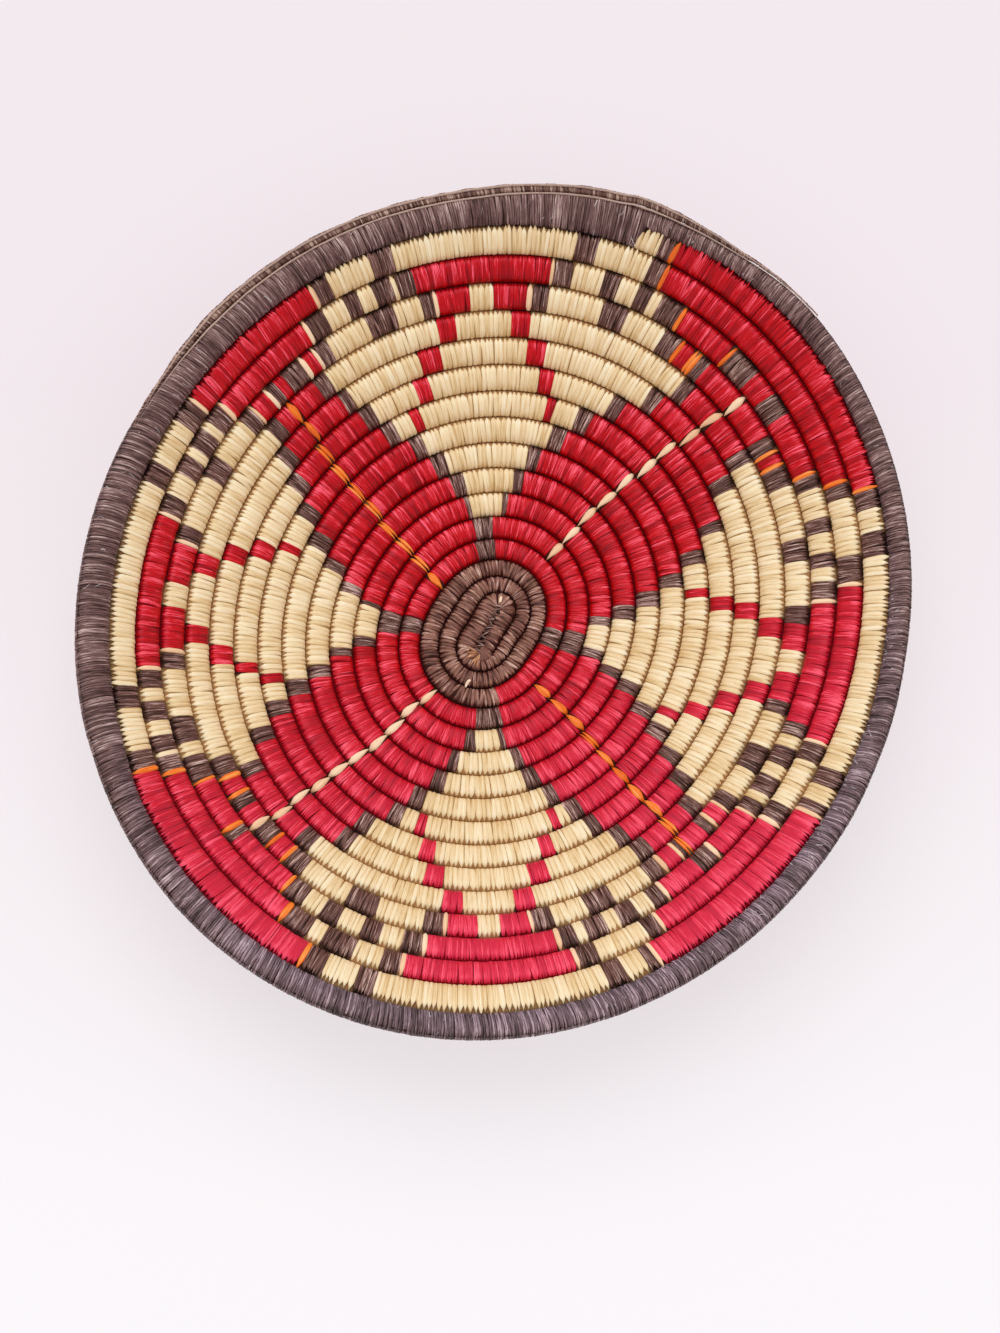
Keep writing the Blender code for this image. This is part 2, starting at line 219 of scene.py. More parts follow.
def mean_radius(turn):
    pitch = (EDGE_RADIUS - SPIRAL_RADIUS + swelling(SPIRAL_TURN)) / (LAST_TURN - SPIRAL_TURN)
    return EDGE_RADIUS - pitch * (LAST_TURN - turn) + swelling(turn)


def direction(turn):
    return 2 * pi * (turn - TURN_AHEAD)


def spiral_radius(turn):
    oval = OVAL + OVAL_GROWTH * turn + OVAL_FOLD * np.exp(-turn / OVAL_TURNS)
    return mean_radius(turn) + oval * np.cos(2 * (direction(turn) + OVAL_DIRECTION))


def fold_radius(turn):
    angle = direction(turn) + OVAL_DIRECTION
    along, across = np.abs(np.cos(angle)), np.abs(np.sin(angle))
    half = FOLD_LENGTH / 2
    bend = half * along + np.sqrt(np.maximum(FOLD_RADIUS**2 - (half * across) ** 2, 0.0))
    return np.where(FOLD_RADIUS * along <= half * across, FOLD_RADIUS / np.maximum(across, 1e-9), bend)


def coil_radius(turn):
    share = smooth((turn - FOLD_TURN) / (SPIRAL_TURN - FOLD_TURN))
    return fold_radius(turn) * (1 - share) + spiral_radius(turn) * share


def height(radius):
    share = np.maximum(radius - BASE_RADIUS, 0.0) / (mean_radius(LAST_TURN) - BASE_RADIUS)
    return RISE * share**RISE_POWER


def coil_points(turn):
    radius = coil_radius(turn)
    angle = direction(turn)
    level = COIL_THICKNESS / 2 - BASE_CUT + height(mean_radius(np.maximum(turn, 0.0)))
    return np.stack([MIDDLE[0] - radius * np.sin(angle), MIDDLE[1] + radius * np.cos(angle), level], -1)


def coil_axes(turn):
    """The outward and the upward direction of the coil's section, square to the path."""
    step = 0.004
    run = coil_points(turn + step) - coil_points(turn - step)
    length = np.hypot(run[:, 0], run[:, 1])
    out = np.stack([run[:, 1] / length, -run[:, 0] / length], -1)
    radius = mean_radius(np.maximum(turn, 0.0))
    reach = 0.0005
    tilt = np.arctan((height(radius + reach) - height(radius - reach)) / (2 * reach))
    outward = np.stack([out[:, 0] * np.cos(tilt), out[:, 1] * np.cos(tilt), np.sin(tilt)], -1)
    upward = np.stack([-out[:, 0] * np.sin(tilt), -out[:, 1] * np.sin(tilt), np.cos(tilt)], -1)
    return outward, upward


class Track:
    """A path with its section: points, directions and half sizes at steps along it."""

    def __init__(self, turn, points, outward, upward, inner, outer, thick):
        steps = np.linalg.norm(np.diff(points, axis=0), axis=1)
        self.along = np.concatenate([[0.0], np.cumsum(steps)])
        self.turn = turn
        self.length = self.along[-1]
        columns = [turn, *points.T, *outward.T, *upward.T, inner, outer, thick]
        self.columns = np.stack(columns, -1)

    def at(self, along):
        """The columns at these distances along the path."""
        place = np.clip(along, 0.0, self.length)
        index = np.clip(np.searchsorted(self.along, place) - 1, 0, len(self.along) - 2)
        share = (place - self.along[index]) / (self.along[index + 1] - self.along[index])
        low, high = self.columns[index], self.columns[index + 1]
        return low + (high - low) * share[..., None]

    def place(self, along, phi, lift, power, aside=None):
        """Points on the section, at the angle phi from the outer seam over the top.

        They are raised by lift upwards and by aside sideways, which is the lift if it isn't given.
        """
        row = self.at(along)
        point, outward, upward = row[..., 1:4], row[..., 4:7], row[..., 7:10]
        inner, outer, thick = row[..., 10], row[..., 11], row[..., 12]
        half = (inner + outer) / 2
        x, y = np.cos(phi), np.sin(phi)
        x = np.sign(x) * np.abs(x) ** (2 / power)
        y = np.sign(y) * np.abs(y) ** (2 / power)
        across = (outer - inner) / 2 + (half + (lift if aside is None else aside)) * x
        up = (thick + lift) * y
        place = point + outward * across[..., None] + upward * up[..., None]
        place[..., 2] = np.maximum(place[..., 2], FLOOR_GAP)
        return place

    def inner_edge(self, turn):
        """How far the inner flank of the path lies from its middle."""
        return np.interp(turn, self.turn, self.columns[:, 10])


def neighbour_room(turn, points, outward):
    """Distance to the nearest other turn, on the inner and on the outer side of each point."""
    inner = np.full(len(turn), np.inf)
    outer = np.full(len(turn), np.inf)
    for i in range(len(turn)):
        apart = np.abs(turn - turn[i])
        least = FOLD_APART_LEAST if turn[i] < FOLD_TURNS else APART_LEAST
        other = (apart > least) & (apart < APART_MOST)
        away = points[other] - points[i]
        far = np.linalg.norm(away, axis=1)
        side = away @ outward[i]
        if turn[i] < LAST_TURN - 1:
            outer[i] = far[side > 0].min(initial=np.inf)
        inner[i] = far[side <= 0].min(initial=np.inf)
    return np.minimum(inner, outer + LOPSIDED_MOST), np.minimum(outer, inner + LOPSIDED_MOST)


def end_share(turn, last):
    """How wide the coil is over its tapered end, from 1 down to the last share."""
    return last + (1 - last) * smooth((LAST_TURN - turn) / COIL_TAPER)


def coil_track():
    turn = np.linspace(TIP_TURN, LAST_TURN, COIL_STEPS)
    points = coil_points(turn)
    outward, upward = coil_axes(turn)
    inner, outer = neighbour_room(turn, points, outward)
    last = turn > LAST_TURN - 1
    outer[last] = inner[last]
    inner, outer = inner / 2 - SEAM_GAP, outer / 2 - SEAM_GAP
    size = end_share(turn, SHOWN_END)
    outer = outer * (2 * size - 1) + edge_push(turn)
    thick = COIL_THICKNESS / 2 * np.sqrt(size)
    thick = thick * np.clip((inner + outer) / COIL_THICKNESS, NARROW_LEAST, 1.0) ** 0.5
    blunt = np.sqrt(np.clip((turn - TIP_TURN) / BLUNT_TURNS, BLUNT_LEAST, 1.0))
    inner, outer = inner * blunt, outer * blunt
    thick = thick * blunt * (THIN_SHARE + (1 - THIN_SHARE) * smooth((turn - TIP_TURN) / THIN_TURNS))
    return Track(turn, points, outward, upward, inner, outer, thick)


def rim_track(coil):
    """A closed loop beside the outermost turn, which steps in past the coil's end."""
    first = LAST_TURN + RIM_STEP - 1
    turn = np.linspace(first, first + 1, RIM_STEPS)
    width = coil.inner_edge(turn)
    size = end_share(turn, TAPER_END)
    outward, upward = coil_axes(turn)
    edge = coil_points(turn) + outward * ((2 * size - 1) * width + edge_push(turn))[:, None]
    below = turn - 1
    bare_out, bare_up = coil_axes(below)
    bare = coil_points(below) + bare_out * coil.inner_edge(below)[:, None]
    past = smooth((turn - LAST_TURN) / RIM_STEP)[:, None]
    edge = edge * (1 - past) + bare * past
    outward = outward * (1 - past) + bare_out * past
    upward = upward * (1 - past) + bare_up * past
    half = edge_value(RIM_WIDTHS, turn) / 2
    middle = edge + outward * (RIM_GAP + half)[:, None]
    # Past the coil's end the wrap reaches in to the row below
    shown_edge = edge + outward * (2 * (end_share(turn, SHOWN_END) - size) * width)[:, None]
    inner_side = np.where(turn[:, None] < LAST_TURN, shown_edge, bare)
    reach = np.einsum("ij,ij->i", middle - inner_side, outward)
    inner = np.maximum(reach - SEAM_GAP, RIM_INNER_LEAST * half)
    return Track(turn, middle, outward, upward, inner, half, half * RIM_FLATNESS)


# Meshes
def add(name, data):
    made = bpy.data.objects.new(name, data)
    bpy.context.scene.collection.objects.link(made)
    return made


def flat(values):
    return values.astype(np.float32).ravel()


def grid_quads(count, rows, columns):
    """Faces of count grids of rows by columns points, numbered one after another."""
    corner = np.arange(rows * columns).reshape(rows, columns)
    a, b = corner[:-1, :-1], corner[:-1, 1:]
    c, d = corner[1:, 1:], corner[1:, :-1]
    quads = np.stack([a, b, c, d], -1).reshape(-1, 4)
    offsets = (np.arange(count) * rows * columns)[:, None, None]
    return (quads[None] + offsets).reshape(-1, 4)


def cell_uv(count, rows, columns):
    """A map on which each grid has a cell of its own, with a margin round it."""
    margin_u, margin_v = 0.06, 0.03
    side = int(np.ceil(np.sqrt(count)))
    number = np.arange(count)
    left, low = number % side, number // side
    u = np.linspace(margin_u, 1 - margin_u, columns)
    v = np.linspace(margin_v, 1 - margin_v, rows)
    place = np.empty((count, rows, columns, 2))
    place[..., 0] = (left[:, None, None] + u[None, None, :]) / side
    place[..., 1] = (low[:, None, None] + v[None, :, None]) / side
    return place


def make_mesh(name, points, material, strand, edge=0.0, flank=0.0, uv=None, order=1):
    """A smooth mesh of grids of points, with three values at each point that its material reads.

    Strand is the place across and along the strand, in millimetres, and the strand's own tone. Edge is 1
    at a strand's edges and tips, where its material paints shade. Flank runs from 1 at the row's outer
    seam to -1 at its inner one; by it the material paints light on the outer flank and shade towards the
    seams. Order is -1 to turn the faces over.
    """
    rows, columns = points.shape[-3:-1]
    count = points.size // (3 * rows * columns)
    quads = grid_quads(count, rows, columns)[:, ::order]
    uv = cell_uv(count, rows, columns) if uv is None else uv
    mesh = bpy.data.meshes.new(name)
    mesh.vertices.add(points.size // 3)
    mesh.vertices.foreach_set("co", flat(points))
    mesh.loops.add(quads.size)
    mesh.loops.foreach_set("vertex_index", quads.astype(np.int32).ravel())
    mesh.polygons.add(len(quads))
    mesh.polygons.foreach_set("loop_start", np.arange(0, quads.size, 4, dtype=np.int32))
    layer = mesh.uv_layers.new(name="OFBake")
    layer.uv.foreach_set("vector", flat(uv.reshape(-1, 2)[quads.ravel()]))
    attribute = mesh.attributes.new("strand", "FLOAT_VECTOR", "POINT")
    attribute.data.foreach_set("vector", flat(strand))
    for label, values in (("edge", edge), ("flank", flank)):
        attribute = mesh.attributes.new(label, "FLOAT", "POINT")
        attribute.data.foreach_set("value", flat(np.broadcast_to(values, strand.shape[:-1])))
    mesh.update(calc_edges=True)
    mesh.validate()
    mesh.shade_smooth()
    mesh.materials.append(material)
    return add(name, mesh)


# How each kind of stitch lies. Crown is how domed it is. It narrows from start to its tip at the outer seam,
# and from inner_start to inner_tip at the inner one. Power is how square the row is, slant how far the
# stitch leans, loose how much it differs from its neighbours, and widen how far it spreads over them.
FIELDS = "crown start tip inner_start inner_tip power slant loose widen"
Style = namedtuple("Style", FIELDS, defaults=(2.8, 0.0, 1.0, 0.0))
NATURAL = Style(0.00016, 0.70, 0.10, 0.82, 0.74)
RED = Style(0.00008, 0.76, 0.34, 0.84, 0.80, loose=1.4)
DARK = Style(0.00015, 0.78, 0.46, 0.86, 0.82, loose=1.8)
CENTRE = Style(0.00019, 0.62, 0.34, 0.70, 0.60, power=2.5, loose=2.2)
ACCENT = Style(0.00026, 0.55, 0.40, 0.60, 0.50)
FLAME = Style(0.00046, 0.60, 0.40, -0.05, 0.08, widen=0.24)
ORANGE_FLAME = Style(0.00034, 0.45, 0.30, 0.10, 0.10, widen=0.28)
RIM = Style(0.00013, 0.90, 0.92, 0.80, 0.85, power=2.3, slant=0.0005, loose=1.6)
RIDGE = Style(0.00010, 0.90, 1.0, 0.9, 1.0, power=2.0, slant=0.0004)


def narrowing(side, start):
    """From 0 where a stitch begins to narrow to 1 at the seam."""
    return np.clip((side[None] - start) / (SEAM_SIDE - start), 0.0, 1.0)


def wrap(name, track, first, last, style, material, seed, around=AROUND, deep=0.0):
    """Stitches laid round the track, each from first to last along it, as one piece.

    Deep is 1 for those that reach over the rim's flank, and more near the coil's end.
    """
    dice = np.random.default_rng(seed)
    count = len(first)

    def vary(spread, *more):
        return dice.normal(0, spread, (count, 1, *more))

    phi = np.linspace(0.0, 2 * pi, around + 1)
    phi = phi - AROUND_SHIFT * np.sin(phi)
    side = np.sign(np.cos(phi)) * np.abs(np.cos(phi)) ** (2 / style.power)
    deep = np.broadcast_to(deep, count)[:, None]
    start = style.start - FRINGE_START * deep - END_TEETH * np.maximum(deep - 1, 0)
    start = start + vary(TIP_SPREAD) * (1 - style.start)
    tip = np.clip(style.tip - FRINGE_TIP * deep + vary(TIP_SPREAD), TIP_LEAST, 1.0)
    inner_tip = np.clip(style.inner_tip + vary(INNER_TIP_SPREAD), TIP_LEAST, 1.0)
    taper = narrowing(side, start)
    inner = narrowing(-side, style.inner_start)
    share = 1 - (1 - tip) * taper**TAPER_POWER - (1 - inner_tip) * inner**TAPER_POWER
    middle = (first + last)[:, None] / 2
    width = (last - first)[:, None]
    half = width / 2 * (OVERLAP + dice.uniform(0, OVERLAP_MORE, (count, 1)))
    lean = vary(LEAN_SPREAD) * width * style.loose
    bow = vary(BOW_SPREAD) * width * style.loose
    centre = middle + lean * side[None] + bow * np.sin(phi)[None] + style.slant * side[None]
    along = centre[..., None] + (half * share)[..., None] * ACROSS
    crown = style.crown * (1 + vary(CROWN_SPREAD, 1))
    lift = crown * (1 - CROWN_DROP * np.abs(ACROSS) ** 4)[None, None]
    lift = lift + vary(LIFT_SPREAD, 1) - TIP_SINK * taper[..., None]
    angle = np.broadcast_to(phi[None, :, None], along.shape)
    reach = FRINGE * deep * dice.uniform(0, 1, (count, 1)) ** 2 * np.clip(side, 0.0, 1.0)
    power = style.power + np.where(np.cos(phi) > 0, SQUARE * deep, 0.0)[..., None]
    points = track.place(along, angle, lift, power, aside=lift + reach[..., None])
    strand = np.empty(along.shape + (3,))
    strand[..., 0] = ACROSS * half[..., None] * MM + dice.uniform(0, GRAIN_PLACES, (count, 1, 1))
    strand[..., 1] = angle * STITCH_ARC
    strand[..., 2] = dice.uniform(0, 1, (count, 1, 1))
    # Painted shade between the strands and in the seams: 1 at a strand's edges and along its narrowing tip
    edge = np.abs(ACROSS)[None, None] ** EDGE_POWER + TIP_SHADE * taper[..., None] ** 2
    return make_mesh(name, points, material, strand, np.clip(edge, 0, 1), np.cos(angle))


def tube(name, track, step, material, power, sink=0.0, aside=0.0, sides=14, tone=None):
    """A plain skin along the track, such as the bundle under the stitches."""
    count = int(track.length / step)
    along = np.linspace(0, track.length, count)
    phi = np.linspace(0, 2 * pi, sides + 1)
    grid, angle = np.meshgrid(along, phi, indexing="ij")
    rough = np.random.default_rng(0).normal(0, CORE_ROUGHNESS, grid.shape) * sink
    rough[:, -1] = rough[:, 0]
    points = track.place(grid, angle, rough - sink, power, aside=aside)
    tones = np.zeros_like(grid) if tone is None else np.repeat(tone(along)[:, None], len(phi), 1)
    strand = np.stack([angle * CORE_ARC, grid * MM, tones], -1)
    uv = np.stack([grid / track.length, angle / (2 * pi)], -1)
    return make_mesh(name, points, material, strand, flank=np.cos(angle), uv=uv, order=-1)


# The pattern. A petal is a natural field in the red ground, with dark steps along its sides.
# Its rings are counted outwards from its tip. Each entry: bearing, ring number of row 0, and the
# natural half width, in degrees, left and right of the bearing, in rings 0 to 7.
PETALS = {
    "north": (-1.0, 11, (6, 8, 13, 18, 24, 27, 30, 33), (8, 11, 14, 19, 24, 30, 36, 40)),
    "east": (100.0, 11, (11, 13, 17, 21, 25, 31, 38, 41), (3, 8, 13, 18, 23, 27, 30, 34)),
    "south": (182.0, 11, (6, 10, 13, 18, 22, 25, 29, 31), (7, 11, 14, 19, 23, 28, 30, 36)),
    "west": (272.5, 10, (8, 11, 16, 20, 24, 28, 34, 31), (7, 11, 16, 21, 27, 32, 35, 38)),
}
# The red barbs inside a petal: ring, degrees from the middle, stitches
BARBS = {4: (17.7, 2), 5: (14.3, 3), 6: (11.0, 4), 7: (7.0, 4)}
# The outer rings, in stitches from the petal's middle outwards: n natural, R red, d dark, O orange.
# Past the last one the ground is red.
CHECKS = {
    "north": {
        8: ("n2.5 R6.5 n1 d2.5 n6.5 d5.5 n9.5 d2.5 n1 R2.5 n1 d4",
            "n2.5 R7 n1 d3 n12 d6 n8 d3.5 O1 R3 O1 d2.5"),
        9: ("R14.5 d3.5 n1.5 d3.5 n3.5 d3 n5 d3.5 n1", "R14.5 n1 d4 n6 d4 n4 d3 n2 d4.5 O1 R11.5 O1 d6"),
        10: ("n19.5 d5 n8.5 d4 n1", "n19.5 d5 n11 d4 O1"),
        11: ("n37", "n38.5 d3 O1"),
    },
    "east": {
        8: ("n2.5 R6 d4 n9.5 d5 n11.5 d4.5 O1 R2.5 O1 d3.5", "n2.5 R6.5 d2.5 n8 d5 n7 d2.5 n1 R2.5 n1 d2"),
        9: ("R13 n1 d3.5 n3 d3.5 n4 d3 n6.5 d3.5 O1 R13 d6",
            "R13 n1 d2 n3.5 d4 n3 d3.5 n2.5 d2.5 n1 R9.5 n1 d6"),
        10: ("R17 n1 d5 n12.5 d4 O1", "R17 n1.5 d3.5 n10.5 d4 n1"),
        11: ("n23.5 d4.5 n6 d4 O1", "n23.5 d4 n4 d2 n1"),
    },
    "south": {
        8: ("n2.5 R6 n1 d3.5 n7.5 d5.5 n7.5 d3.5 n1 R3 n1 d3.5",
            "n2.5 R6 n1 d3.5 n10.5 d6 n10 d4 O1 R2.5 O1 d3.5"),
        9: ("R13 n1 d3.5 n2 d4 n3.5 d3.5 n3.5 d2.5 n1 R11 n1 d6",
            "R13 n1 d3.5 n5 d4 n5 d4 n4 d3.5 O1 R13.5 O1 d8"),
        10: ("R17 n1 d4 n10 d3 n1", "R17 n1.5 d4 n5.5 d6.5 n3.5 d5 O1"),
        11: ("n23 d3.5 n5 d2 n1", "n23 d4.5 n7 d4 O1"),
    },
    "west": {
        8: ("n2.5 R8.5 n1 d3.5 n10 d6 n4 d4.5 O1 R11 O1 d8",
            "n2.5 R8 n1 d3.5 n10 d5.5 n8.5 d3.5 n1 R3 n1 d8"),
        9: ("R15.5 n1 d4 n3.5 d4 n3.5 d3 n1.5 d3 O1", "R15.5 n1 d3.5 n5 d4 n2.5 d4 n2 d4 n1"),
        10: ("n21.5 d4.5 n9.5 d4 O1", "n21.5 d5 n9 d5 n1"),
    },
}
# Past the natural field of the west petal's ring 7, on its left
WEST_STEPS = "d3.5 O1 R3.5 O1 d2.5"
WEST_RING = 7
FIRST_CHECKS, LAST_CHECKS = 8, 11  # the rings that the checks cover
# One bright stitch a row down the middle of each red field: bearing in row 12, degrees more a row, colour
FLAMES = ((40.0, 1.06, "n"), (139.8, 0.30, "O"), (221.7, 0.65, "n"), (314.0, 0.35, "O"))
FLAME_ROW = 12
FLAME_ROWS = (3, 13)
EDGE_STEP = 3  # dark stitches along a petal's side, and at its tip
TIP_STEP = 1.5
# Degrees of dark on each side of the middle, in the row inside a petal's tip
DARK_TIPS = {"north": 5.5, "east": 8.0, "south": 7.0, "west": 7.0}
RED_FROM = 13.48  # rows from the edge: all is dark inside this


def read_string(text, stitches):
    """The colour at this many stitches from the middle."""
    reach = 0.0
    for block in text.split():
        reach += float(block[1:])
        if stitches < reach:
            return block[0]
    return "R"


def flame_bearing(number, row):
    bearing, step, _ = FLAMES[number]
    return bearing + step * (FLAME_ROW - row)


def petal_at(bearing, row):
    """The petal between the two flames on each side of this bearing."""
    for number, name in enumerate(PETALS):
        if bearing < flame_bearing(number, row):
            return name
    return "north"


def colour_of(turn, radius):
    """The letter of the stitch here: one of those in the checks, or c in the dark middle."""
    rows = NORTH_TURN - turn
    if rows > RED_FROM:
        return "c"
    row = int(rows)
    name = petal_at((rows - row) * 360, row)
    middle, outermost, left, right = PETALS[name]
    number = round(rows - middle / 360)
    ring = outermost - number
    offset = (rows - number) * 360 - middle
    if ring < 0:
        return "d" if abs(offset) < DARK_TIPS[name] else "R"
    stitches = abs(radians(offset)) * radius / STITCH
    if ring >= FIRST_CHECKS:
        return read_string(CHECKS[name][min(ring, LAST_CHECKS)][int(offset > 0)], stitches)
    reach = (right if offset > 0 else left)[ring]
    past = stitches - radians(reach) * radius / STITCH
    if past > 0:
        if ring == WEST_RING and name == "west" and offset < 0:
            return read_string(WEST_STEPS, past)
        return "d" if past < min(EDGE_STEP, ring + TIP_STEP) else "R"
    if ring in BARBS:
        degrees, count = BARBS[ring]
        if abs(stitches - radians(degrees) * radius / STITCH) < count / 2:
            return "R"
    return "n"


# The stitches of the coil
KINDS = (
    # name, letter, style, look, slot
    ("natural", "n", NATURAL, "natural", "natural_stitches"),
    ("red", "R", RED, "red", "red_stitches"),
    ("brown", "d", DARK, "brown", "brown_stitches"),
    ("centre", "c", CENTRE, "centre", "brown_stitches"),
    ("orange", "O", ACCENT, "orange", "natural_stitches"),
    ("blush", "p", ACCENT, "blush", "natural_stitches"),
    ("flame", "F", FLAME, "blush", "natural_stitches"),
    ("orange_flame", "G", ORANGE_FLAME, "orange", "natural_stitches"),
)
# The bundle's colour where it shows between the stitches of each letter, from red at 0 over dark to straw
# at 1: partly the colour of those stitches and of the straw, partly painted shade, as it is darker than they
# are
UNDER = {"n": 1.0, "p": 0.9, "F": 0.9, "O": 0.8, "G": 0.8, "d": 0.5, "c": 0.45, "R": 0.0}
SPLIT_SHARES = {"R": 0.5, "d": 0.5, "G": 0.4}  # of these stitches are laid as two narrow ones
SPLIT_PLACES = (0.40, 0.60)
MOST_STITCHES = 1030  # in one piece
# The first seed of each group of pieces. A piece adds its own number.
COIL_SEED, KIND_SEEDS, RIM_SEED, RIDGE_SEED, FIBRE_SEED = 100, 10, 200, 300, 500
START_SEED, DARNING_SEED, ENDS_SEED = 400, 401, 402


def stitch_cuts(length, pitch, spread):
    """Where one stitch ends and the next begins. The pitch is a function of the place."""
    cuts = [0.0]
    while cuts[-1] < length:
        share = min(max(1 + rng.normal(0, spread), NARROWEST), WIDEST)
        cuts.append(cuts[-1] + pitch(cuts[-1]) * share)
    return np.array(cuts) * length / cuts[-1]


def flame_stitches(rows):
    """The stitch nearest each flame in each row, and its letter."""
    found = {}
    for number, (_, _, colour) in enumerate(FLAMES):
        for row in range(*FLAME_ROWS):
            wanted = row + flame_bearing(number, row) / 360
            found[int(np.argmin(np.abs(rows - wanted)))] = "F" if colour == "n" else "G"
    return found


def split_some(ends, share):
    """The stitches, with this share of them laid as two narrow ones side by side."""
    split = rng.uniform(0, 1, len(ends)) < share
    cut = ends[:, 0] + (ends[:, 1] - ends[:, 0]) * rng.uniform(*SPLIT_PLACES, len(ends))
    one, other = ends.copy(), ends.copy()
    one[split, 1] = cut[split]
    other[split, 0] = cut[split]
    both = np.concatenate([one, other[split]])
    return both[np.argsort(both[:, 0], kind="stable")]


def stitch_coil(coil, looks):
    """All the stitches of the coil, and the bundle under them."""
    pitches = np.where(coil.turn < FINE_TURN, FINE_STITCH, STITCH)
    cuts = stitch_cuts(coil.length, lambda at: np.interp(at, coil.along, pitches), STITCH_SPREAD)
    middles = (cuts[1:] + cuts[:-1]) / 2
    at = coil.at(middles)
    turns = at[:, 0]
    radii = np.hypot(at[:, 1] - MIDDLE[0], at[:, 2] - MIDDLE[1])
    colours = np.array([colour_of(turn, radius) for turn, radius in zip(turns, radii)])
    before, after = np.roll(colours, 1), np.roll(colours, -1)
    beside_red = ((before == "R") & (after == "d")) | ((before == "d") & (after == "R"))
    colours[(colours == "n") & beside_red] = "p"
    first, last = cuts[:-1].copy(), cuts[1:].copy()
    for index, colour in flame_stitches(NORTH_TURN - turns).items():
        widen = (FLAME if colour == "F" else ORANGE_FLAME).widen * STITCH
        colours[index] = colour
        first[index] -= widen
        last[index] += widen
        last[index - 1] = first[index]
        first[index + 1] = last[index]
    deep = np.clip((turns - LAST_TURN + (1 + FRINGE_TURNS)) / FRINGE_TURNS, 0.0, 1.0)
    deep = deep + (END_FRINGE - 1) * smooth((turns - LAST_TURN) / END_FRINGE_TURNS + 1)
    pieces = []
    for number, (label, letter, style, look, slot) in enumerate(KINDS):
        chosen = np.flatnonzero(colours == letter)
        ends = np.stack([first[chosen], last[chosen], deep[chosen]], -1)
        if letter in SPLIT_SHARES:
            ends = split_some(ends, SPLIT_SHARES[letter])
        parts = -(-len(ends) // MOST_STITCHES)
        for part, some in enumerate(np.array_split(ends, parts)):
            name = f"{label}_stitches" if parts == 1 else f"{label}_stitches_{part + 1}"
            seed = COIL_SEED + KIND_SEEDS * number + part
            piece = wrap(name, coil, some[:, 0], some[:, 1], style, looks[look], seed, deep=some[:, 2])
            pieces.append(piece)
    under = np.array([UNDER[colour] for colour in colours])
    bundle = tube(
        "coil_bundle", coil, CORE_STEP, looks["core"], CORE_POWER, sink=CORE_DEPTH, aside=CORE_ASIDE,
        tone=lambda along: np.interp(along, middles, under),
    )
    return pieces, bundle


def stitch_rim(coil, looks):
    """The rim's path, its overcast stitches in two pieces, and the bundle under them."""
    rim = rim_track(coil)
    cuts = stitch_cuts(rim.length, lambda at: RIM_STITCH, RIM_SPREAD)
    pieces = []
    for part, some in enumerate(np.array_split(np.arange(len(cuts) - 1), 2)):
        name = f"rim_stitches_{part + 1}"
        piece = wrap(name, rim, cuts[some], cuts[some + 1], RIM, looks["rim"], RIM_SEED + part)
        pieces.append(piece)
    bundle = tube(
        "rim_bundle_skin", rim, RIM_CORE_STEP, looks["core"], RIM_CORE_POWER, sink=CORE_DEPTH,
        tone=lambda along: np.full(len(along), UNDER["d"]),
    )
    return rim, pieces, bundle


def wandering(place, count, spread):
    """A value that wanders about 0 along these places, by way of count random ones."""
    return np.interp(place, np.linspace(place[0], place[-1], count), rng.normal(0, spread, count))


def strand_track(rim, phi, size, out):
    """A track along the rim's outer side, over the stretch that was finished off."""
    along = np.concatenate([rim.along[:-1], rim.length + rim.along])
    turn = np.concatenate([rim.turn[:-1], rim.turn + 1])
    ends = [NORTH_TURN - bearing / 360 for bearing in (EDGE_END, EDGE_START)]
    place = np.linspace(*np.interp(ends, turn, along), STRAND_STEPS)
    turn = np.interp(place, along, turn)
    bearing = 360 * (NORTH_TURN - turn)
    fade = smooth((EDGE_END - bearing) / END_FADE) * smooth((bearing - EDGE_START) / START_FADE)
    wave = wandering(place, WAVES, WAVE_SPREAD)
    wave += JOIN_STEP * smooth((bearing - JOIN_BEARING) / JOIN_STEP_DEGREES)
    wave += JOIN_LUMP * np.exp(-(((bearing - JOIN_BEARING) / JOIN_LUMP_DEGREES) ** 2))
    angle = np.full(len(place), phi)
    points = rim.place(place % rim.length, angle, out * fade + wave, RIM.power)
    row = rim.at(place % rim.length)
    half = size * (THIN_END + (1 - THIN_END) * fade)
    half = half * (1 + wandering(place, LUMPS, LUMP_SPREAD))
    return Track(turn, points, row[:, 4:7], row[:, 7:10], half, half, half)


def finish_edge(rim, looks):
    """Two pale strands and a wrapped ridge between them, along the rim's outer side."""
    pieces = []
    for number, (phi, size, out) in enumerate(PALE_STRANDS):
        track = strand_track(rim, phi, size, out)
        piece = tube(f"pale_strand_{number + 1}", track, PALE_STEP, looks["pale"], power=2.0, sides=9)
        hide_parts(f"edge_strand_{number + 1}")
        pieces.append(piece)
    track = strand_track(rim, RIDGE_PHI, RIDGE_SIZE, out=RIDGE_SIZE * RIDGE_OUT)
    cuts = stitch_cuts(track.length, lambda at: RIDGE_STITCH, RIDGE_SPREAD)
    piece = wrap("edge_ridge", track, cuts[:-1], cuts[1:], RIDGE, looks["ridge"], RIDGE_SEED, around=12)
    pieces.append(piece)
    return pieces


